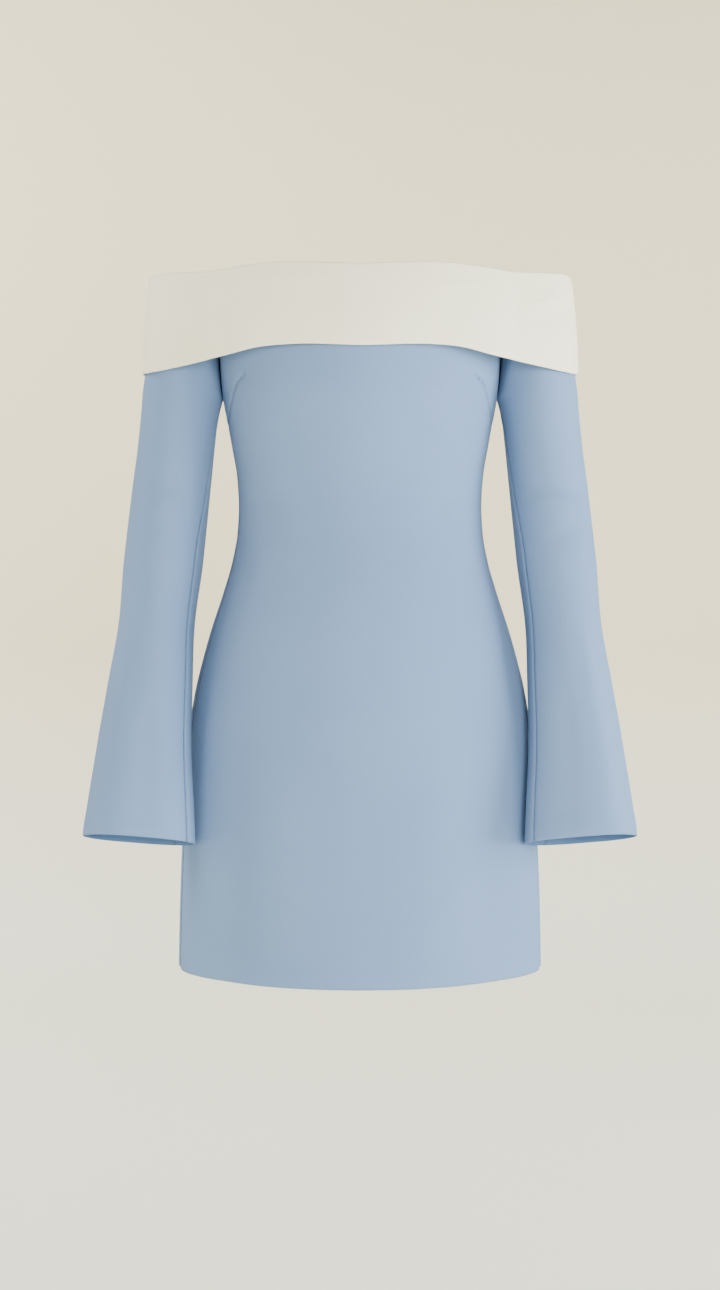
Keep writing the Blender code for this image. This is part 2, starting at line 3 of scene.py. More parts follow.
import bmesh
import bpy
import numpy as np
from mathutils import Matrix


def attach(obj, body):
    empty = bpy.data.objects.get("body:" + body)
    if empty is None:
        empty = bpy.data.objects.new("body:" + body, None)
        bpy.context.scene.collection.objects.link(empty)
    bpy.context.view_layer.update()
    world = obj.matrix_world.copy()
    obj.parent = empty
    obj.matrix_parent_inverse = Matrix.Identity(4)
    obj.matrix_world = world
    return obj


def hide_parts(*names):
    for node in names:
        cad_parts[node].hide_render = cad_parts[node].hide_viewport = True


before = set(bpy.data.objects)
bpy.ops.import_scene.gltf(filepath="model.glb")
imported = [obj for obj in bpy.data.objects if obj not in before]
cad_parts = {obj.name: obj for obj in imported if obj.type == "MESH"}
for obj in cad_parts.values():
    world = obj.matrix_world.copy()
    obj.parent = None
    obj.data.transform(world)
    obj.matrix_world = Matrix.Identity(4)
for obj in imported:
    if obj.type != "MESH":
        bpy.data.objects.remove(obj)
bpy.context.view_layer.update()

# Off-shoulder dress: the look of every cloth panel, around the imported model.
# Sizes are in millimetres here and become metres when a mesh gets its points.

mm = 0.001
print("stage: frame loaded")

studio = {
    "cameraY": -1700.0, "cameraZ": -257.25, "lens": 45.18,
    "floorZ": -970.0, "wallY": 2500.0, "wallRadius": 900.0,
    "width": 9000.0, "front": -3500.0, "top": 4200.0, "floorFade": (30.0, 700.0),
    "wallHex": "#EEE2BE", "floorHex": "#F5F7E6",
    "keyWatts": 92.0, "sideWatts": 98.0, "fillWatts": 26.0,
    "wallWatts": {"Right": 34.0, "Left": 90.0}, "worldStrength": 0.44,
}

# The dress's cut, the same as the solids': sections from the neck edge down to the hem
bodyCut = {
    "z":          [-595, -560, -467, -350, -309, -273, -238, -204, -168, -140, -113, -84, -46, -25,
                   0, 15, 30, 45, 70, 95, 122],
    "halfWidth":  [189.2, 188.8, 186.0, 179.0, 173.0, 164.6, 154.6, 143.4, 133.2, 128.4, 127.0, 128.6,
                   134.9, 138.8, 143.5, 146.2, 149.6, 155.0, 168.0, 184.0, 200.0],
    "frontDepth": [123.5, 122.5, 119.5, 114.5, 112.0, 108.5, 104.0, 99.0, 94.0, 91.5, 91.5, 95.5, 104.5,
                   109.5, 113.5, 114.0, 113.5, 112.0, 109.5, 107.5, 105.5],
    "backDepth":  [122.5, 122.0, 120.5, 119.5, 118.5, 116.0, 111.5, 104.0, 94.5, 88.0, 85.0, 87.0, 92.5,
                   95.0, 97.5, 98.5, 99.0, 99.5, 99.5, 98.5, 97.0],
    "valleyX":    [143.5] * 14 + [143.5, 145.0, 146.0, 146.6, 148.0, 149.0, 150.0],
    "sideSeam":   [12, 12, 12, 12, 12, 12, 12, 11, 10, 9, 8, 6, 4, 2, 0, 0, 0, 0, 0, 0, 0],
    "hemSide": -585.0, "hemCornerDrop": 6.8, "hemCornerSpread": 0.15,
    "hemFrontDrop": 2.0, "hemBackDrop": 4.0,
}
sleeveCut = {
    "z":         [-453, -422, -362, -297, -231, -167, -104, -42, 0, 27, 70, 122],
    "centreX":   [221.7, 220.9, 219.0, 214.6, 209.7, 204.4, 198.6, 191.9, 187.8, 186.6, 183.0, 181.0],
    "centreY":   [-75.5, -70.0, -57.0, -42.0, -25.0, -12.0, -3.0, 0.0, 0.0, 0.0, 0.0, 0.0],
    "halfWidth": [56.4, 54.0, 48.0, 43.1, 39.0, 41.1, 40.9, 40.1, 40.5, 38.4, 36.5, 36.0],
    "halfDepth": [42.0, 42.0, 42.5, 43.0, 43.5, 45.5, 47.0, 49.0, 50.0, 49.0, 47.5, 46.0],
    "frontSeam": [27, 27, 27, 27, 28, 30, 20, 8, 2, 0, 0, 0],
    "backSeam":  [55, 55, 54, 52, 50, 48, 42, 28, 2, 0, 0, 0],
    "cuffZ": -453.0, "cuffBackDrop": 0.21, "cuffOuterRise": 0.07,
    "capTurn": 70.0, "capPower": 0.7, "capBlend": 50.0, "underarmBlend": 30.0,
}
neckCut = {
    "x":      [0, 60, 82, 98, 112, 125, 150, 167, 182, 202, 208, 213, 217],
    "top":    [118.7, 121.6, 122.2, 122.0, 121.3, 120.6, 119.5, 120.7, 122.2, 124.2, 125.0, 125.8, 126.6],
    "bottom": [36.0, 38.4, 38.0, 36.8, 34.4, 31.8, 28.0, 25.5, 23.7, 21.9, 22.0, 23.2, 25.4],
    "edgeDrop": 10.0, "sectionZ": 110.0,
}
# Largest folds, as in the solids: place in degrees round to the front, spread, depth, start level.
# Each grows downwards from its start level over foldGrowth.
foldGrowth = 220.0
sleeveFolds = [(62, 20, 2.6, -230), (30, 15, -2.2, -260), (105, 18, -1.6, -280),
               (-40, 22, 2.4, -220), (-78, 18, -2.0, -250)]
skirtFolds = [(14, 8, 1.8, -260), (34, 9, -1.6, -240), (-22, 10, 1.8, -230), (-46, 12, -1.8, -250)]


def smoothCurve(keys, values):
    # A smooth function through a table's column.
    xs, ys = np.array(keys, float), np.array(values, float)
    span = np.diff(xs)
    rate = np.diff(ys) / span
    slope = np.zeros(len(xs))
    same = rate[:-1] * rate[1:] > 0
    both = np.where(same, rate[:-1] + rate[1:], 1.0)
    slope[1:-1] = np.where(same, 2 * rate[:-1] * rate[1:] / both, 0.0)

    def read(at):
        at = np.clip(np.asarray(at, float), xs[0], xs[-1])
        i = np.clip(np.searchsorted(xs, at, side="right") - 1, 0, len(xs) - 2)
        t = (at - xs[i]) / span[i]
        t2, t3 = t * t, t * t * t
        return ((2 * t3 - 3 * t2 + 1) * ys[i] + (t3 - 2 * t2 + t) * span[i] * slope[i]
                + (3 * t2 - 2 * t3) * ys[i + 1] + (t3 - t2) * span[i] * slope[i + 1])
    return read


body = {k: smoothCurve(bodyCut["z"], bodyCut[k])
        for k in ("halfWidth", "frontDepth", "backDepth", "valleyX", "sideSeam")}
arm = {k: smoothCurve(sleeveCut["z"], sleeveCut[k])
       for k in ("centreX", "centreY", "halfWidth", "halfDepth", "frontSeam", "backSeam")}
neck = {k: smoothCurve(neckCut["x"], neckCut[k]) for k in ("top", "bottom")}


def neckEdge(x):
    return neck["top"](np.abs(x)) - neckCut["edgeDrop"]


def bodyNeckEdge(angle):
    # The neck edge's level at an angle round the body
    return neckEdge(body["halfWidth"](neckCut["sectionZ"]) * np.cos(angle))


def armholeTop():
    # The neck edge's level where the armhole seams reach it
    return float(neckEdge(body["valleyX"](neckCut["sectionZ"])))


def foldHeight(folds, place, z):
    height = np.zeros(np.broadcast(place, z).shape)
    for at, spread, depth, start in folds:
        grown = np.clip((start - z) / foldGrowth, 0.0, 1.0) ** 2
        apart = (place - at + 180.0) % 360.0 - 180.0
        height = height + depth * grown * np.exp(-((apart / spread) ** 2))
    return height


def bodyPoint(angle, z):
    # Outer surface of the body: angle in radians, 0 at +X and 90 degrees at the back.
    side = np.sin(angle)
    depth = np.where(side > 0, body["backDepth"](z), body["frontDepth"](z))
    x = body["halfWidth"](z) * np.cos(angle)
    y = depth * side
    place = -np.degrees(np.arctan2(y, np.abs(x)))
    out = foldHeight(skirtFolds, place, z) / np.hypot(x, y)
    return np.stack([x * (1 + out), y * (1 + out), z + 0 * x], axis=-1)


def armholeAngle(z):
    return np.arccos(np.minimum(1.0, body["valleyX"](z) / body["halfWidth"](z)))


def seamAngle(z, front):
    lean = np.radians(body["sideSeam"](z))
    return np.where(z >= 0, armholeAngle(np.maximum(z, 0)), lean if front else -lean)


def hemLevel(angle):
    side = np.sin(angle)
    corner = bodyCut["hemCornerDrop"] * (1 - np.exp(-((side / bodyCut["hemCornerSpread"]) ** 2)))
    front = corner + bodyCut["hemFrontDrop"] * side * side
    return bodyCut["hemSide"] - np.where(side > 0, bodyCut["hemBackDrop"] * side * side, front)


def capAngle(z):
    rise = np.clip(z / armholeTop(), 0.0, 1.0)
    return 180.0 - sleeveCut["capTurn"] * rise ** sleeveCut["capPower"]


def ringPoint(degrees, z):
    # A plain point of the right sleeve's ring, 0 at the outer side and -90 at the front.
    angle = np.radians(degrees)
    out = foldHeight(sleeveFolds, -degrees, z)
    across = (arm["halfWidth"](z) + out) * np.cos(angle)
    along = (arm["halfDepth"](z) + out) * np.sin(angle)
    down = np.clip(z / sleeveCut["cuffZ"], 0.0, 1.0) ** 2
    level = z - sleeveCut["cuffBackDrop"] * down * along + sleeveCut["cuffOuterRise"] * down * across
    return np.stack([arm["centreX"](z) + across, arm["centreY"](z) + along, level], axis=-1)


def sleevePoint(degrees, z):
    # The right sleeve's surface, drawn over to the armhole near the underarm and above.
    degrees = (degrees + 180.0) % 360.0 - 180.0
    level = np.maximum(z, 0.0)
    fade = np.where(z >= 0, 1.0, np.maximum(0.0, 1.0 + z / sleeveCut["underarmBlend"]) ** 2)
    cap = capAngle(level)
    front = degrees < 0
    away = np.maximum(0.0, np.where(front, degrees + cap, cap - degrees))
    weight = fade * np.maximum(0.0, 1.0 - away / sleeveCut["capBlend"]) ** 2
    way = np.where(front, -1.0, 1.0)
    pull = bodyPoint(way * armholeAngle(level), level) - ringPoint(way * cap, level)
    pull[..., 2] = 0.0
    return ringPoint(degrees, z) + pull * weight[..., None]


def rowsOf(above, below):
    # Row values from 1 at the neck edge through 0 at the underarm to -1 at the hem.
    return np.concatenate([np.linspace(1, 0, above + 1), np.linspace(0, -1, below + 1)[1:]])[:, None]


def levels(rows, top, low):
    return np.where(rows >= 0, top * rows, -low * rows)


def runAlong(points, axis):
    # Distance run along the grid's rows or columns, in millimetres.
    step = np.linalg.norm(np.diff(points, axis=axis), axis=-1)
    start = np.zeros_like(np.take(step, [0], axis=axis))
    return np.concatenate([start, np.cumsum(step, axis=axis)], axis=axis)


def outward(points):
    # Outward unit normals of a grid whose rows run down and columns run anticlockwise.
    down, round_ = np.gradient(points, axis=0), np.gradient(points, axis=1)
    n = np.cross(down, round_)
    return n / np.maximum(np.linalg.norm(n, axis=-1, keepdims=True), 1e-9)


def dip(distance, width, depth):
    return -depth * np.exp(-((distance / width) ** 2))


# A crease's form: half of its length's share at full depth, its ends' fade, and its width from start to end
creaseForm = {"fullHalf": 0.28, "endFade": 0.2, "startWidth": 0.75, "endGain": 0.5}
# Ripple's form: how many waves, how far each may turn, and how much a wave's length may vary
rippleForm = {"waves": 6, "turn": 0.5, "shortest": 0.7, "longest": 1.6, "levelShare": 0.35}
fullTurn = 6.28


def crease(across, level, c):
    # One crease: a soft ridge or trough from one place to another, tapered at its ends.
    a, b = np.array(c["start"], float), np.array(c["end"], float)
    run = b - a
    long = float(np.hypot(*run))
    bow = c.get("bow", 0.0)
    t = ((across - a[0]) * run[0] + (level - a[1]) * run[1]) / long ** 2
    side = ((across - a[0]) * run[1] - (level - a[1]) * run[0]) / long
    inside = np.clip(t, 0, 1)
    side = side - bow * 4 * inside * (1 - inside)
    taper = np.exp(-(np.maximum(0, np.abs(t - 0.5) - creaseForm["fullHalf"]) / creaseForm["endFade"]) ** 2)
    width = c["width"] * (creaseForm["startWidth"] + creaseForm["endGain"] * inside)
    return c["depth"] * taper * np.exp(-((side / width) ** 2))


def creases(across, level, placed):
    total = np.zeros(across.shape)
    for c in placed:
        total = total + crease(across, level, c)
    return total


def ripple(across, level, seed, long, amount):
    # Slow unevenness of hanging cloth, from a few waves with fixed phases.
    f = rippleForm
    rng = np.random.default_rng(seed)
    total = np.zeros(across.shape)
    for _ in range(f["waves"]):
        turn = rng.uniform(-f["turn"], f["turn"])
        phase = rng.uniform(0, fullTurn)
        size = rng.uniform(f["shortest"], f["longest"])
        travel = across * math.cos(turn) + level * math.sin(turn) * f["levelShare"]
        total = total + np.sin(travel * fullTurn / (long * size) + phase)
    return amount * total / f["waves"]


def clothObject(name, points, seam, wall, material, reverse):
    # A grid operator's mesh, laid on the panel's points, with a real thickness inward.
    rowCount, columnCount = points.shape[0] - 1, points.shape[1] - 1
    across, down = runAlong(points, 1), runAlong(points, 0)
    bm = bmesh.new()
    uvLayer = bm.loops.layers.uv.new("cut")
    # The seam layer holds the seams' darkness and the painted shade in the armhole valleys
    seamAndShadeLayer = bm.verts.layers.float.new("seam")
    bmesh.ops.create_grid(bm, x_segments=columnCount, y_segments=rowCount, size=1.0)
    place = {}
    for v in bm.verts:
        c = round((v.co.x + 1) / 2 * columnCount)
        r = round((1 - v.co.y) / 2 * rowCount)
        place[v.index] = (r, c)
        v.co = points[r, c] * mm
        v[seamAndShadeLayer] = seam[r, c]
    for face in bm.faces:
        for loop in face.loops:
            r, c = place[loop.vert.index]
            loop[uvLayer].uv = (across[r, c] * mm, -down[r, c] * mm)
    mesh = bpy.data.meshes.new(name)
    bm.to_mesh(mesh)
    bm.free()
    mesh.shade_smooth()
    mesh.materials.append(material)
    mesh.materials.append(reverse)
    piece = bpy.data.objects.new(name, mesh)
    bpy.context.scene.collection.objects.link(piece)
    thick = piece.modifiers.new("wall", "SOLIDIFY")
    thick.thickness = wall * mm
    thick.offset = -1.0
    # For the crepe the reverse is a darker copy, which paints shade inside the cuffs
    thick.material_offset = 1  # the inner face shows the cloth's reverse
    return piece


# Materials

def linear(hexColour, alpha=1.0):
    out = []
    for i in (1, 3, 5):
        c = int(hexColour[i:i + 2], 16) / 255
        out.append(c / 12.92 if c <= 0.04045 else ((c + 0.055) / 1.055) ** 2.4)
    return (*out, alpha)


def addNode(tree, kind, settings=None, inputs=None):
    # Adds one node: its settings, then its inputs, each a value or a socket to link from.
    node = tree.nodes.new(kind)
    for key, value in (settings or {}).items():
        setattr(node, key, value)
    for key, value in (inputs or {}).items():
        if isinstance(value, bpy.types.NodeSocket):
            tree.links.new(value, node.inputs[key])
        else:
            node.inputs[key].default_value = value
    return node


def newMaterial(name):
    material = bpy.data.materials.new(name)
    material.use_nodes = True
    tree = material.node_tree
    shader = next(n for n in tree.nodes if n.type == "BSDF_PRINCIPLED")
    return material, tree, shader


def ramp(tree, factor, stops):
    node = addNode(tree, "ShaderNodeValToRGB", inputs={"Fac": factor})
    while len(node.color_ramp.elements) < len(stops):
        node.color_ramp.elements.new(0.5)
    for element, (at, colour) in zip(node.color_ramp.elements, stops):
        element.position, element.color = at, colour
    return node.outputs["Color"]


radiansPerUnit = 20  # how far Blender's wave texture turns for each unit, so a wave is 6.3 times threadMm


def clothMaterial(name, look):
    # Woven cloth: slow colour change, a fine thread grid, a pebbled face, and darker seams from the seam
    # attribute, which also carries painted shade in the armhole valleys.
    material, tree, shader = newMaterial(name)
    coords = addNode(tree, "ShaderNodeTexCoord")
    slow = addNode(tree, "ShaderNodeTexNoise", inputs={
        "Vector": coords.outputs["Object"], "Scale": 1 / (look["cloudMm"] * mm),
        "Detail": 2.0, "Roughness": 0.5})
    colour = ramp(tree, slow.outputs["Fac"], [
        (0.35, linear(look["deepHex"])), (0.65, linear(look["paleHex"]))])
    cut = addNode(tree, "ShaderNodeUVMap", {"uv_map": "cut"})
    pebble = addNode(tree, "ShaderNodeTexNoise", inputs={
        "Vector": coords.outputs["Object"], "Scale": 1 / (look["pebbleMm"] * mm),
        "Detail": 3.0, "Roughness": 0.6})
    threadScale = 1 / (look["threadMm"] * mm * radiansPerUnit)
    warp, weft = [addNode(tree, "ShaderNodeTexWave", {"bands_direction": way}, {
        "Vector": cut.outputs["UV"], "Scale": threadScale, "Distortion": 2.0, "Detail": 1.0})
        for way in ("X", "Y")]
    weave = addNode(tree, "ShaderNodeMath", {"operation": "MULTIPLY"}, {
        0: warp.outputs["Fac"], 1: weft.outputs["Fac"]})
    height = addNode(tree, "ShaderNodeMix", {"data_type": "FLOAT"}, {
        0: look["threadShare"], 2: pebble.outputs["Fac"], 3: weave.outputs["Value"]})
    grain = addNode(tree, "ShaderNodeMix", {"data_type": "RGBA", "blend_type": "MULTIPLY"}, {
        0: look["grainShade"], 6: colour,
        7: ramp(tree, pebble.outputs["Fac"], [(0.3, (0.72, 0.72, 0.74, 1)), (0.7, (1, 1, 1, 1))])})
    # The seam attribute darkens the seams and paints shade into the armhole valleys
    seam = addNode(tree, "ShaderNodeAttribute", {"attribute_name": "seam"})
    dark = addNode(tree, "ShaderNodeMix", {"data_type": "RGBA", "blend_type": "MIX"}, {
        0: seam.outputs["Fac"], 6: grain.outputs[2], 7: linear(look["seamAndShadeHex"])})
    tree.links.new(dark.outputs[2], shader.inputs["Base Color"])
    bump = addNode(tree, "ShaderNodeBump", inputs={
        "Strength": look["bump"], "Distance": look["bumpMm"] * mm, "Height": height.outputs[0]})
    tree.links.new(bump.outputs["Normal"], shader.inputs["Normal"])
    shader.inputs["Roughness"].default_value = look["rough"]
    shader.inputs["Sheen Weight"].default_value = look["sheen"]
    shader.inputs["Sheen Roughness"].default_value = look["sheenRough"]
    shader.inputs["Sheen Tint"].default_value = linear(look["sheenHex"])
    shader.inputs["IOR"].default_value = 1.46
    shader.inputs["Specular IOR Level"].default_value = look["specular"]
    return material


# Polyester crepe: tightly twisted yarn, so the face is matt and finely pebbled
crepeLook = {"deepHex": "#6C88AD", "paleHex": "#708CB1", "seamAndShadeHex": "#4A6186", "sheenHex": "#B7C9E2",
             "cloudMm": 160.0, "pebbleMm": 1.1, "threadMm": 0.7, "threadShare": 0.45, "grainShade": 0.25,
             "bump": 0.22, "bumpMm": 0.25, "rough": 0.92, "sheen": 0.05, "sheenRough": 0.45,
             "specular": 0.22}
# Satin-backed crepe used on its smoother side: closer, flatter yarn with a soft low lustre
bandLook = {"deepHex": "#EFECCF", "paleHex": "#F2F0D7", "seamAndShadeHex": "#C5C0A2", "sheenHex": "#FFFDF0",
            "cloudMm": 120.0, "pebbleMm": 0.9, "threadMm": 0.6, "threadShare": 0.55, "grainShade": 0.12,
            "bump": 0.14, "bumpMm": 0.2, "rough": 0.62, "sheen": 0.1, "sheenRough": 0.4, "specular": 0.3}
# Its reverse is guessed duller, and its deeper colour is painted shade, from the dark strip that shows inside
# each cuff
paintedShadeReverseLook = {**crepeLook, "deepHex": "#4C668C", "paleHex": "#527097", "sheen": 0.0, "specular": 0.1}
crepe = clothMaterial("polyesterCrepe", crepeLook)
crepeReversePaintedShade = clothMaterial("polyesterCrepeReversePaintedShade", paintedShadeReverseLook)
bandCloth = clothMaterial("satinBackedCrepe", bandLook)
print("stage: cloth materials made")


# Front and back panels

# The front's and the backs' own sizes, in millimetres; the creases' share deepens the front's creases below
bodyCloth = {"columns": 150, "rowsAbove": 36, "rowsBelow": 200, "wall": 1.2, "creaseShare": 1.8,
             "seamWidth": 2.6, "seamDepth": 1.2, "seamDark": 0.8, "zipDark": 0.7,
             "hemFold": 34.0, "hemWidth": 1.6, "hemDepth": 0.18}
frontCreases = [
    {"start": (-150, -300), "end": (-158, -560), "width": 16, "depth": 1.1},
    {"start": (-112, -330), "end": (-120, -590), "width": 20, "depth": -1.0},
    {"start": (148, -280), "end": (156, -570), "width": 15, "depth": 1.2},
    {"start": (104, -360), "end": (110, -590), "width": 22, "depth": -0.9},
    {"start": (-66, -380), "end": (-72, -590), "width": 24, "depth": 0.8},
    {"start": (58, -400), "end": (50, -592), "width": 26, "depth": 0.7},
    {"start": (118, -96), "end": (70, -128), "width": 9, "depth": -0.7, "bow": 4},
    {"start": (-120, -104), "end": (-78, -130), "width": 10, "depth": -0.6, "bow": -4},
    {"start": (126, -140), "end": (84, -176), "width": 11, "depth": 0.6, "bow": 5},
    {"start": (-126, -146), "end": (-88, -186), "width": 12, "depth": 0.5, "bow": -5},
    {"start": (96, 12), "end": (40, -20), "width": 18, "depth": 0.6, "bow": -4},
    {"start": (-96, 12), "end": (-44, -24), "width": 18, "depth": 0.5, "bow": 4},
]
backCreases = [
    {"start": (40, -108), "end": (118, -96), "width": 9, "depth": -1.3, "bow": 5},
    {"start": (30, -134), "end": (112, -128), "width": 11, "depth": 1.0, "bow": 4},
    {"start": (60, -330), "end": (66, -588), "width": 20, "depth": -1.2},
    {"start": (112, -300), "end": (120, -580), "width": 17, "depth": 1.3},
    {"start": (150, -340), "end": (158, -584), "width": 14, "depth": -1.0},
    {"start": (24, -240), "end": (100, -300), "width": 20, "depth": 0.8, "bow": 8},
]
# The bust dart's sewn line, from its tip to the side seam: x and level on the panel's face
dartLine = [(118.5, 15.0), (124.5, 10.0), (128.2, 4.5), (130.2, -2.5),
            (132.5, -10.0), (136.0, -23.0), (137.5, -34.0)]
dart = {"width": 1.4, "depth": 1.8, "tipDimple": 9.0, "tipDepth": 0.9,
        "darkShare": {1: 0.9, -1: 0.7}}


def surfaceRun(x, y, z):
    # Distance round the body from the middle of the front or back, about true.
    mean = 0.5 * (body["halfWidth"](z) + body["frontDepth"](z))
    return np.arctan2(x / body["halfWidth"](z), np.abs(y) / body["frontDepth"](z)) * mean


def dartShape(across, level, side):
    # Groove and seam darkness along a dart, by distance to its line.
    line = []
    for x, z in dartLine:
        share = x / float(body["halfWidth"](z))
        y = body["frontDepth"](z) * math.sqrt(max(0.0, 1 - share ** 2))
        line.append((float(surfaceRun(x, y, z)), z))
    line = np.array(line)
    near = np.full(across.shape, 1e9)
    for (s0, z0), (s1, z1) in zip(line[:-1], line[1:]):
        run = np.array([s1 - s0, z1 - z0])
        t = np.clip(((side * across - s0) * run[0] + (level - z0) * run[1]) / (run @ run), 0, 1)
        near = np.minimum(near, np.hypot(side * across - s0 - t * run[0], level - z0 - t * run[1]))
    tip = np.hypot(side * across - line[0][0], level - line[0][1])
    shape = dip(near, dart["width"], dart["depth"]) + dip(tip, dart["tipDimple"], dart["tipDepth"])
    return shape, np.exp(-((near / (dart["width"] * 0.7)) ** 2))


# A seam's form: shares of its own width and depth, and the pucker's lengths and height
seamForm = {"ridgeShare": 0.22, "ridgeAt": 3.2, "ridgeWidth": 2, "darkWidth": 0.55,
            "pucker": 0.22, "puckerReach": 8.0, "puckerLong": (9, 26), "puckerWaves": 4, "dark": 0.6}


def seamEffect(fromSeam, along, width, depth, seed):
    # A pressed seam: a narrow groove, a faint ridge beside it and slight pucker along it.
    f = seamForm
    rng = np.random.default_rng(seed)
    pucker = sum(np.sin(along * fullTurn / rng.uniform(*f["puckerLong"]) + rng.uniform(0, fullTurn))
                 for _ in range(f["puckerWaves"])) / f["puckerWaves"]
    ridge = np.exp(-((fromSeam - f["ridgeAt"] * width) / (f["ridgeWidth"] * width)) ** 2)
    groove = dip(fromSeam, width, depth) + f["ridgeShare"] * depth * ridge
    puckered = f["pucker"] * pucker * np.exp(-((fromSeam / f["puckerReach"]) ** 2))
    return groove + puckered, np.exp(-((fromSeam / (width * f["darkWidth"])) ** 2))


# The valley at each armhole is drawn in deeper than the solids' own, so that it holds its shadow, and its dark
# and darkWidth paint shade along the armhole seam as well
valley = {"share": 0.62, "width": 7.0, "from": 2.0, "to": 75.0, "fade": 40.0, "dark": 0.85, "darkWidth": 2.6,
          "settleBelow": 24.0, "settleWidth": 8.0}


def drawIn(points, fromSeam, edge):
    # Moves cloth beside an armhole seam towards the middle of the arm, and gives the painted shade along that
    # seam.
    level = edge[..., 2]
    rise = np.clip(level / valley["from"], 0, 1) * np.clip((valley["to"] - level) / valley["fade"], 0, 1)
    near = np.exp(-((fromSeam / valley["width"]) ** 2))
    points = points.copy()
    points[..., 1] -= valley["share"] * edge[..., 1] * rise * near
    return points, valley["dark"] * rise * np.exp(-((fromSeam / valley["darkWidth"]) ** 2))


def settleAtHole(push, fromSeam, edge):
    # Takes seams and creases out beside the armhole, where the two panels face different ways.
    above = np.clip((edge[..., 2] + valley["settleBelow"]) / valley["settleBelow"], 0, 1)
    return push * (1 - above * np.exp(-((fromSeam / valley["settleWidth"]) ** 2)))


def finishPanel(points, push):
    return points + outward(points) * push[..., None]


def frontPanel():
    c = bodyCloth
    across = np.linspace(0, 1, c["columns"] + 1)[None, :]
    topSeam = float(seamAngle(np.array(armholeTop()), True))
    lowSeam = math.radians(bodyCut["sideSeam"][0])
    neckZ = bodyNeckEdge(-math.pi + topSeam + (math.pi - 2 * topSeam) * across)
    hemZ = hemLevel(-math.pi + lowSeam + (math.pi - 2 * lowSeam) * across)
    z = levels(rowsOf(c["rowsAbove"], c["rowsBelow"]), neckZ, hemZ)
    seam = seamAngle(z, True)
    points = bodyPoint(-math.pi + seam + (math.pi - 2 * seam) * across, z)
    run, down = runAlong(points, 1), runAlong(points, 0)
    s = surfaceRun(points[..., 0], points[..., 1], z)
    push = c["creaseShare"] * creases(s, z, frontCreases) + ripple(s, z, 3, 150.0, 0.35)
    left, leftDark = seamEffect(run, down, c["seamWidth"], c["seamDepth"], 11)
    right, rightDark = seamEffect(run[:, -1:] - run, down, c["seamWidth"], c["seamDepth"], 12)
    dartRight, darkRight = dartShape(s, z, 1)
    dartLeft, darkLeft = dartShape(s, z, -1)
    hem = dip(down[-1:, :] - down - c["hemFold"], c["hemWidth"], c["hemDepth"])
    push = push + left + right + dartRight + dartLeft + hem
    push = settleAtHole(settleAtHole(push, run, points[:, :1]), run[:, -1:] - run, points[:, -1:])
    laid = finishPanel(points, push)
    laid, holeShadeLeft = drawIn(laid, run, points[:, :1])
    laid, holeShadeRight = drawIn(laid, run[:, -1:] - run, points[:, -1:])
    # The armhole terms are painted shade in the valleys, added to the seams' darkness
    dark = leftDark * c["seamDark"] + rightDark * c["seamDark"] + holeShadeLeft + holeShadeRight
    dark = dark + darkRight * dart["darkShare"][1] + darkLeft * dart["darkShare"][-1]
    return clothObject("frontCrepe", laid, np.clip(dark, 0, 1), c["wall"], crepe, crepeReversePaintedShade)


def backPanel(side):
    c = bodyCloth
    columns = c["columns"] // 2
    across = np.linspace(0, 1, columns + 1)[None, :]
    topSeam = float(seamAngle(np.array(armholeTop()), False))
    lowSeam = -math.radians(bodyCut["sideSeam"][0])
    neckZ = bodyNeckEdge(topSeam + (math.pi / 2 - topSeam) * across)
    hemZ = hemLevel(lowSeam + (math.pi / 2 - lowSeam) * across)
    z = levels(rowsOf(c["rowsAbove"], c["rowsBelow"]), neckZ, hemZ)
    seam = seamAngle(z, False)
    points = bodyPoint(seam + (math.pi / 2 - seam) * across, z)
    run, down = runAlong(points, 1), runAlong(points, 0)
    s = run[:, -1:] - run
    # the left back hangs a little differently, so its creases are shallower and start lower
    share, lower = (1.0, 0) if side > 0 else (0.8, 9)
    placed = [{**k, "depth": k["depth"] * share, "start": (k["start"][0], k["start"][1] - lower)}
              for k in backCreases]
    push = creases(s, z, placed) + ripple(s, z, 5 + side, 140.0, 0.4)
    edge, edgeDark = seamEffect(run, down, c["seamWidth"], c["seamDepth"], 13 + side)
    centre, centreDark = seamEffect(s, down, c["seamWidth"] * 1.1, c["seamDepth"] * 1.2, 21)
    hem = dip(down[-1:, :] - down - c["hemFold"], c["hemWidth"], c["hemDepth"])
    seamLine = points[:, :1]
    push = settleAtHole(push + edge + centre + hem, run, seamLine)
    points, holeShade = drawIn(finishPanel(points, push), run, seamLine)
    # The armhole term is painted shade in the valley, added to the seams' darkness
    dark = np.clip(edgeDark * c["seamDark"] + centreDark * c["zipDark"] + holeShade, 0, 1)
    if side < 0:
        points, dark = points[:, ::-1] * np.array([-1.0, 1.0, 1.0]), dark[:, ::-1]
    name = "backCrepeRight" if side > 0 else "backCrepeLeft"
    return clothObject(name, points, dark, c["wall"], crepe, crepeReversePaintedShade)


def seat(piece, node):
    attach(piece, "dress")
    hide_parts(node)


front = frontPanel()
seat(front, "front")
for side, node in ((1, "back_right"), (-1, "back_left")):
    back = backPanel(side)
    seat(back, node)
print("stage: front and back panels made")


# Sleeves

sleeveCloth = {"columns": 104, "rowsAbove": 36, "rowsBelow": 150, "underColumns": 30, "wall": 1.2,
               "creaseShare": 1.5, "mmPerDegree": 0.82, "smoothFrom": 35, "smoothOver": 30,
               "seamWidth": 1.6, "seamDepth": 0.7, "hemFold": 26.0, "hemWidth": 1.4, "hemDepth": 0.16,
               "pointHalf": 0.6, "pointWide": 14.0, "pointDeep": 24.0}
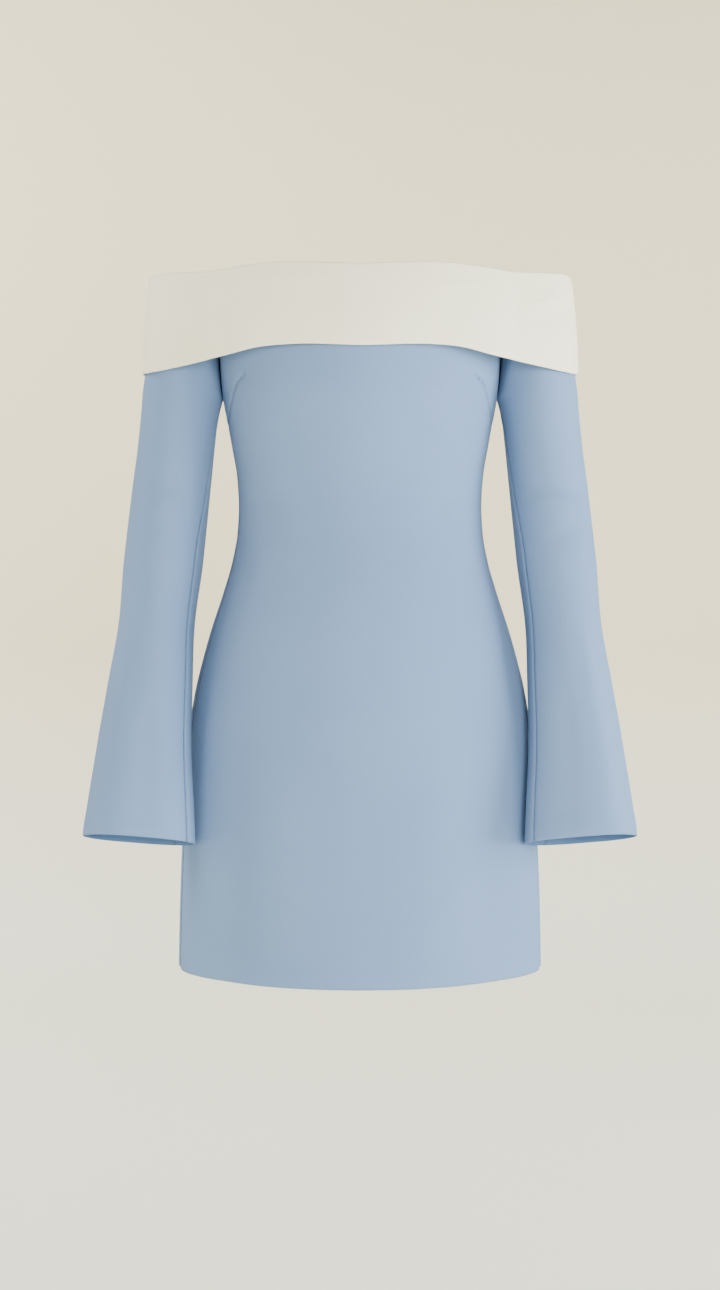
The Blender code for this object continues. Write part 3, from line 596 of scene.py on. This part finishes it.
# Creases by degrees round the ring, 0 at the outer side and negative to the front, and level
sleeveCreases = {
    1: [
        {"start": (-120, -86), "end": (-30, -100), "width": 9, "depth": -1.3, "bow": 4},
        {"start": (-126, -112), "end": (-36, -122), "width": 10, "depth": 1.2, "bow": -4},
        {"start": (-110, -150), "end": (-50, -134), "width": 10, "depth": -0.9, "bow": 3},
        {"start": (-70, -250), "end": (-58, -452), "width": 12, "depth": 1.3},
        {"start": (-34, -280), "end": (-28, -452), "width": 11, "depth": -1.5},
        {"start": (-104, -300), "end": (-108, -452), "width": 12, "depth": -1.1},
        {"start": (30, -90), "end": (110, -112), "width": 10, "depth": -1.4, "bow": 5},
        {"start": (36, -128), "end": (118, -146), "width": 11, "depth": 1.1, "bow": 4},
        {"start": (70, -260), "end": (80, -452), "width": 15, "depth": 1.4},
    ],
    -1: [
        {"start": (-116, -96), "end": (-40, -84), "width": 10, "depth": -1.0, "bow": 4},
        {"start": (-122, -128), "end": (-44, -116), "width": 11, "depth": 0.9, "bow": -3},
        {"start": (-62, -270), "end": (-50, -452), "width": 13, "depth": 1.4},
        {"start": (-30, -260), "end": (-22, -452), "width": 12, "depth": -1.3},
        {"start": (-98, -320), "end": (-100, -452), "width": 12, "depth": -1.2},
        {"start": (34, -100), "end": (108, -104), "width": 10, "depth": -1.2, "bow": 5},
        {"start": (62, -280), "end": (70, -452), "width": 15, "depth": 1.2},
    ],
}


def sleeveLevels(top):
    c = sleeveCloth
    return levels(rowsOf(c["rowsAbove"], c["rowsBelow"]), top, sleeveCut["cuffZ"])


def upperSleeve(side):
    c = sleeveCloth
    across = np.linspace(0, 1, c["columns"] + 1)[None, :]
    holeTop = armholeTop()
    neckLine = sleevePoint(capAngle(holeTop) * (2 * across - 1), np.full(across.shape, neckCut["sectionZ"]))
    z = sleeveLevels(neckEdge(neckLine[..., 0]))
    rows = rowsOf(c["rowsAbove"], c["rowsBelow"]) + 0 * z
    edge = holeTop * np.maximum(rows, 0)
    low = np.minimum(z, 0)
    first = np.where(rows >= 0, -capAngle(edge), arm["frontSeam"](low) - 180.0)
    last = np.where(rows >= 0, capAngle(edge), 180.0 - arm["backSeam"](low))
    degrees = first + (last - first) * across
    points = sleevePoint(degrees, z)
    for column, way in ((0, -1.0), (-1, 1.0)):
        onEdge = rows[:, column] >= 0
        at = z[onEdge, column]
        points[onEdge, column] = bodyPoint(way * armholeAngle(at), at)
    run, down = runAlong(points, 1), runAlong(points, 0)
    scale = c["mmPerDegree"]
    reach = scale * degrees
    placed = [{**k, "start": (k["start"][0] * scale, k["start"][1]), "end": (k["end"][0] * scale, k["end"][1])}
              for k in sleeveCreases[side]]
    push = c["creaseShare"] * creases(reach, z, placed) + ripple(reach, z, 30 + side, 90.0, 0.3)
    push = push * np.clip((c["smoothFrom"] - z) / c["smoothOver"], 0, 1)
    a, aDark = seamEffect(run, down, c["seamWidth"], c["seamDepth"], 31 + side)
    b, bDark = seamEffect(run[:, -1:] - run, down, c["seamWidth"], c["seamDepth"], 41 + side)
    hem = dip(down[-1:, :] - down - c["hemFold"], c["hemWidth"], c["hemDepth"])
    first, last = points[:, :1], points[:, -1:]
    push = settleAtHole(settleAtHole(push + a + b + hem, run, first), run[:, -1:] - run, last)
    points, frontHoleShade = drawIn(finishPanel(points, push), run, first)
    points, backHoleShade = drawIn(points, run[:, -1:] - run, last)
    # The armhole terms are painted shade in the valleys, added to the seams' darkness
    dark = np.clip(aDark * seamForm["dark"] + bDark * seamForm["dark"] + frontHoleShade + backHoleShade, 0, 1)
    if side < 0:
        points, dark = points[:, ::-1] * np.array([-1.0, 1.0, 1.0]), dark[:, ::-1]
    name = "upperSleeveRight" if side > 0 else "upperSleeveLeft"
    return clothObject(name, points, dark, c["wall"], crepe, crepeReversePaintedShade)


def underSleeve(side):
    c = sleeveCloth
    across = np.linspace(0, 1, c["underColumns"] + 1)[None, :]
    z = np.linspace(0, sleeveCut["cuffZ"], c["rowsBelow"] + 1)[:, None] + 0 * across
    first, last = 180.0 - arm["backSeam"](z), 180.0 + arm["frontSeam"](z)
    degrees = first + (last - first) * across
    points = sleevePoint(degrees, z)
    # the upper sleeve's seams run straight from the underarm point, and so does this panel's top
    points[0] = bodyPoint(np.zeros(across.shape), np.zeros(across.shape))[0]
    points[0, :, 1] += np.linspace(c["pointHalf"], -c["pointHalf"], c["underColumns"] + 1)
    run, down = runAlong(points, 1), runAlong(points, 0)
    a, aDark = seamEffect(run, down, c["seamWidth"], c["seamDepth"], 51 + side)
    b, bDark = seamEffect(run[:, -1:] - run, down, c["seamWidth"], c["seamDepth"], 61 + side)
    wide = np.clip(run[:, -1:] / c["pointWide"], 0, 1)
    push = (ripple(degrees, z, 70 + side, 70.0, 0.3) + a + b) * wide
    points = finishPanel(points, push * np.clip(-z / c["pointDeep"], 0, 1))
    dark = np.clip(aDark * seamForm["dark"] + bDark * seamForm["dark"], 0, 1) * wide
    if side < 0:
        points, dark = points[:, ::-1] * np.array([-1.0, 1.0, 1.0]), dark[:, ::-1]
    name = "underSleeveRight" if side > 0 else "underSleeveLeft"
    return clothObject(name, points, dark, c["wall"], crepe, crepeReversePaintedShade)


for side, word in ((1, "right"), (-1, "left")):
    upper = upperSleeve(side)
    seat(upper, "sleeve_upper_" + word)
    under = underSleeve(side)
    seat(under, "sleeve_under_" + word)
print("stage: sleeves made")


# Fold-over band

bandCut = {"standFront": 12.6, "standArm": 11.0, "standBack": 8.8, "roll": 2.9, "lip": -1.5,
           "rollSteps": 10, "fallSteps": 46, "edgeSteps": 8, "innerSteps": 12, "edgeRadius": 1.25,
           "columnsBody": 120, "columnsBack": 60, "columnsArm": 72, "backSeam": 10 / 16, "wall": 0.6,
           "lipGap": 0.3, "innerReach": 42.0, "fallPower": 0.9, "settleRows": 8.0,
           "seamWidth": 1.4, "seamDepth": 0.6}
bandCreases = [
    {"start": (176, 84), "end": (236, 108), "width": 5, "depth": 0.9, "bow": 3},
    {"start": (186, 70), "end": (240, 88), "width": 7, "depth": -0.8, "bow": 3},
    {"start": (-170, 84), "end": (-226, 98), "width": 6, "depth": 0.8, "bow": -4},
    {"start": (-180, 66), "end": (-240, 84), "width": 8, "depth": -0.7, "bow": -3},
    {"start": (60, 96), "end": (160, 108), "width": 8, "depth": 0.5, "bow": 3},
    {"start": (-40, 62), "end": (-150, 56), "width": 16, "depth": 0.7, "bow": 5},
    {"start": (40, 60), "end": (150, 50), "width": 18, "depth": 0.6, "bow": -5},
    {"start": (-20, 104), "end": (-130, 108), "width": 7, "depth": 0.4, "bow": -2},
]


def neckLoop():
    # Points of the cloth's own top edge, anticlockwise from the front's left armhole seam.
    holeTop = armholeTop()
    b = bandCut

    def bodySpan(first, last, count):
        t = np.linspace(0, 1, count + 1)
        angle = first + (last - first) * t
        return bodyPoint(angle, bodyNeckEdge(angle))

    f = float(seamAngle(np.array(holeTop), True))
    k = float(seamAngle(np.array(holeTop), False))
    frontSpan = bodySpan(-math.pi + f, -f, b["columnsBody"])
    backRight = bodySpan(k, math.pi / 2, b["columnsBack"])
    backLeft = bodySpan(math.pi / 2, math.pi - k, b["columnsBack"])
    t = np.linspace(-1, 1, b["columnsArm"] + 1)
    at = capAngle(holeTop) * t
    neckX = sleevePoint(at, np.full(at.shape, neckCut["sectionZ"]))[..., 0]
    armRight = sleevePoint(at, neckEdge(neckX))
    armLeft = armRight[::-1] * np.array([-1.0, 1.0, 1.0])
    return np.concatenate([frontSpan[:-1], armRight[:-1], backRight[:-1], backLeft[:-1], armLeft[:-1]])


def bandSurface():
    # The whole band as a grid: the lip inside, over the roll, down, round the folded edge and up.
    b = bandCut
    loop = neckLoop()
    along = np.roll(loop, -2, axis=0) - np.roll(loop, 2, axis=0)
    facing = np.stack([along[:, 1], -along[:, 0], np.zeros(len(loop))], axis=-1)
    facing /= np.linalg.norm(facing, axis=-1, keepdims=True)
    behind, ahead = np.maximum(0, facing[:, 1]), np.maximum(0, -facing[:, 1])
    sideways = np.abs(facing[:, 0])
    stand = b["standFront"] * ahead + b["standBack"] * behind + b["standArm"] * sideways
    stand = stand / (behind + ahead + sideways)
    x = np.abs(loop[:, 0])
    top, bottom = neck["top"](x), neck["bottom"](x)
    centre = top - b["roll"]
    start = b["lip"] + 2 * b["roll"]
    outs, ups = [np.full(len(loop), b["lip"])], [loop[:, 2] + b["lipGap"]]
    for step in range(b["rollSteps"] + 1):
        turn = math.pi * (1 - step / b["rollSteps"])
        outs.append(np.full(len(loop), b["lip"] + b["roll"] * (1 + math.cos(turn))))
        ups.append(centre + b["roll"] * math.sin(turn))
    for step in range(1, b["fallSteps"] + 1):
        part = step / b["fallSteps"]
        outs.append(start + (stand - start) * math.sin(part * math.pi / 2) ** b["fallPower"])
        ups.append(centre + (bottom + b["edgeRadius"] - centre) * part)
    outer = len(outs)
    for step in range(1, b["edgeSteps"] + 1):
        turn = math.pi * step / b["edgeSteps"]
        outs.append(stand - b["edgeRadius"] * (1 - math.cos(turn)))
        ups.append(bottom + b["edgeRadius"] * (1 - math.sin(turn)))
    for step in range(1, b["innerSteps"] + 1):
        part = step / b["innerSteps"]
        up = bottom + b["edgeRadius"] + b["innerReach"] * part
        fall = (centre - up) / (centre - bottom)
        out = start + (stand - start) * np.sin(fall * math.pi / 2) ** b["fallPower"]
        outs.append(out - 2 * b["edgeRadius"])
        ups.append(up)
    outs, ups = np.array(outs), np.array(ups)
    x, y = loop[:, 0] + facing[:, 0] * outs, loop[:, 1] + facing[:, 1] * outs
    return np.stack([x, y, ups], axis=-1), outer


def bandPieces():
    b = bandCut
    points, outer = bandSurface()
    closed = np.concatenate([points, points[:, :1]], axis=1)
    run = runAlong(closed, 1)[outer - 1]
    middle = run[b["columnsBody"] // 2]
    total = run[-1]
    s = (run - middle + total / 2) % total - total / 2
    s = np.tile(s[:-1], (points.shape[0], 1))
    z = points[..., 2]
    push = creases(s, z, bandCreases) + ripple(s, z * 1.4, 81, 120.0, 0.5)
    rows = np.arange(points.shape[0])[:, None]
    push = push * np.clip((rows - b["rollSteps"]) / b["settleRows"], 0, 1)
    push = push * np.where(rows > outer + b["edgeSteps"], 0.0, 1.0)
    wrap = np.concatenate([points[:, -1:], points, points[:, :1]], axis=1)
    points = points + outward(wrap)[:, 1:-1] * push[..., None]
    count = points.shape[1]
    body0, arm0, back0 = b["columnsBody"], b["columnsArm"], b["columnsBack"]
    seamAt = round(arm0 * b["backSeam"])
    rightEnd = body0 + seamAt
    centreBack = body0 + arm0 + back0
    leftEnd = count - seamAt
    spans = {"band_front": ("bandFront", list(range(leftEnd, count)) + list(range(rightEnd + 1))),
             "band_back_right": ("bandBackRight", list(range(rightEnd, centreBack + 1))),
             "band_back_left": ("bandBackLeft", list(range(centreBack, leftEnd + 1)))}
    for node, (name, places) in spans.items():
        part = points[:, places].copy()
        edge = runAlong(part, 1)
        down = runAlong(part, 0)
        a, aDark = seamEffect(edge, down, b["seamWidth"], b["seamDepth"], 91)
        e, eDark = seamEffect(edge[:, -1:] - edge, down, b["seamWidth"], b["seamDepth"], 92)
        part = finishPanel(part, a + e)
        dark = np.clip(aDark * seamForm["dark"] + eDark * seamForm["dark"], 0, 1)
        piece = clothObject(name, part, dark, b["wall"], bandCloth, bandCloth)
        seat(piece, node)


bandPieces()
print("stage: band made")


# Zip: the solids' own slider and tab, in nickel tinted to the cloth

def nickelMaterial():
    # Nickel plate under a thin tinted lacquer: a soft metal shine with fine tumbling marks.
    material, tree, shader = newMaterial("lacqueredNickel")
    coords = addNode(tree, "ShaderNodeTexCoord")
    marks = addNode(tree, "ShaderNodeTexNoise", inputs={
        "Vector": coords.outputs["Object"], "Scale": 1 / (0.6 * mm), "Detail": 3.0})
    tree.links.new(ramp(tree, marks.outputs["Fac"], [(0.3, linear("#A9BACB")), (0.7, linear("#BECBD8"))]),
                   shader.inputs["Base Color"])
    rough = addNode(tree, "ShaderNodeMapRange", inputs={
        "Value": marks.outputs["Fac"], "To Min": 0.28, "To Max": 0.42})
    tree.links.new(rough.outputs["Result"], shader.inputs["Roughness"])
    shader.inputs["Metallic"].default_value = 0.9
    return material


nickel = nickelMaterial()
for node in ("zip_slider", "zip_pull"):
    for slot in bpy.data.objects[node].material_slots:
        slot.material = nickel
print("stage: zip finished")


# Studio: one curved sheet for floor and wall, soft lamps and the camera

def backdrop():
    s = studio
    bm = bmesh.new()
    bmesh.ops.create_grid(bm, x_segments=2, y_segments=60, size=1.0)
    arc = s["wallRadius"] * math.pi / 2
    floorRun = s["wallY"] - s["wallRadius"] - s["front"]
    total = floorRun + arc + s["top"]
    for v in bm.verts:
        d = (v.co.y + 1) / 2 * total
        if d < floorRun:
            y, z = s["front"] + d, 0.0
        elif d < floorRun + arc:
            turn = (d - floorRun) / s["wallRadius"]
            y = s["wallY"] - s["wallRadius"] + s["wallRadius"] * math.sin(turn)
            z = s["wallRadius"] * (1 - math.cos(turn))
        else:
            y, z = s["wallY"], s["wallRadius"] + d - floorRun - arc
        v.co = (v.co.x * s["width"] / 2 * mm, y * mm, (z + s["floorZ"]) * mm)
    mesh = bpy.data.meshes.new("backdrop")
    bm.to_mesh(mesh)
    bm.free()
    mesh.shade_smooth()
    material, tree, shader = newMaterial("paperSweep")
    coords = addNode(tree, "ShaderNodeTexCoord")
    split = addNode(tree, "ShaderNodeSeparateXYZ", inputs={"Vector": coords.outputs["Object"]})
    fadeLow, fadeHigh = [(s["floorZ"] + rise) * mm for rise in s["floorFade"]]
    fade = addNode(tree, "ShaderNodeMapRange", inputs={
        "Value": split.outputs["Z"], "From Min": fadeLow, "From Max": fadeHigh})
    paper = ramp(tree, fade.outputs["Result"], [(0.0, linear(s["floorHex"])), (1.0, linear(s["wallHex"]))])
    tree.links.new(paper, shader.inputs["Base Color"])
    shader.inputs["Roughness"].default_value = 0.95
    shader.inputs["Specular IOR Level"].default_value = 0.1
    mesh.materials.append(material)
    sweep = bpy.data.objects.new("backdrop", mesh)
    bpy.context.scene.collection.objects.link(sweep)


def softLamp(name, place, aim, size, watts, hexColour):
    data = bpy.data.lights.new(name, "AREA")
    data.shape, data.size, data.energy = "DISK", size * mm, watts
    data.color = linear(hexColour)[:3]
    lamp = bpy.data.objects.new(name, data)
    lamp.location = [v * mm for v in place]
    way = np.array(aim, float) - np.array(place, float)
    lamp.rotation_euler = (math.acos(-way[2] / np.linalg.norm(way)), 0.0, math.atan2(-way[0], way[1]))
    bpy.context.scene.collection.objects.link(lamp)


backdrop()
# The key stands beside the camera, and a side lamp from the right brightens the dress's right
softLamp("key", (520, -2600, -80), (0, 0, -250), 1300, studio["keyWatts"], "#FFFCF8")
softLamp("side", (2450, -720, -60), (0, 0, -250), 1300, studio["sideWatts"], "#FFFFFF")
softLamp("fill", (-2450, -800, -200), (0, 0, -300), 1500, studio["fillWatts"], "#FFEBD2")
for side, word in ((1, "Right"), (-1, "Left")):
    watts = studio["wallWatts"][word]
    softLamp("wall" + word, (side * 2000, 700, 1400), (0, 2000, -500), 1400, watts, "#FFFFFF")
world = bpy.data.worlds.new("studioAir")
world.use_nodes = True
air = world.node_tree.nodes["Background"]
air.inputs["Color"].default_value = linear("#FBF8F2")
air.inputs["Strength"].default_value = studio["worldStrength"]
bpy.context.scene.world = world

eyeData = bpy.data.cameras.new("camera")
eyeData.lens = studio["lens"]
eyeData.sensor_width = 36.0
eye = bpy.data.objects.new("camera", eyeData)
eye.location = (0.0, studio["cameraY"] * mm, studio["cameraZ"] * mm)
eye.rotation_euler = (math.pi / 2, 0.0, 0.0)
bpy.context.scene.collection.objects.link(eye)
bpy.context.scene.camera = eye
print("stage: studio ready")
